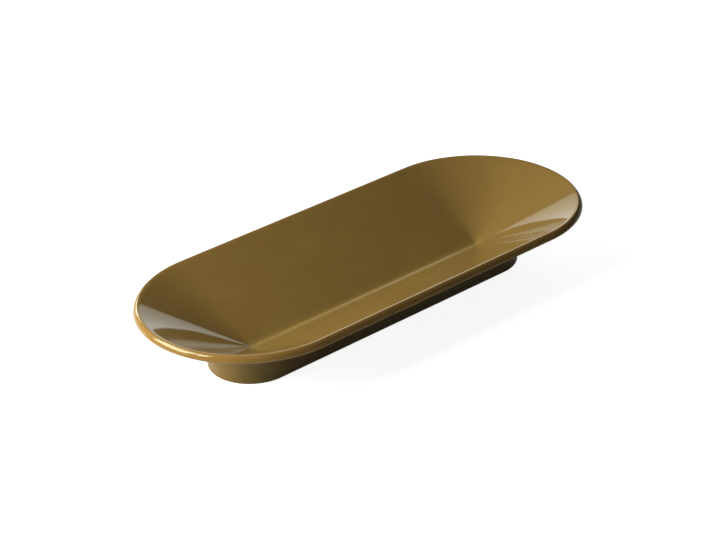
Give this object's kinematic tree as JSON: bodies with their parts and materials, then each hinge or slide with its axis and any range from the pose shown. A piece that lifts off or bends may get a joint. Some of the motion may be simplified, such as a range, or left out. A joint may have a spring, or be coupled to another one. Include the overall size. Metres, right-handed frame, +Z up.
{
  "type": "serving bowl",
  "caption": "Long footed serving bowl in glazed stoneware: straight walls slope to a central valley, between half-cone ends, with a thick lip and a foot ring.",
  "frame": {"origin": "on the table, under the middle of the foot ring", "axes": "+X along the bowl's length, +Y across it, +Z up out of the bowl"},
  "size_m": [0.52, 0.22, 0.0695],
  "materials": {
    "dish_glaze": "glossy olive-brown glaze, a little more amber on the lip",
    "foot_ring_glaze": "glossy olive-brown glaze, wiped off the standing rim"
  },
  "bodies": {
    "root": {"dish": "dish_glaze", "foot_ring": "foot_ring_glaze"}
  },
  "joints": []
}
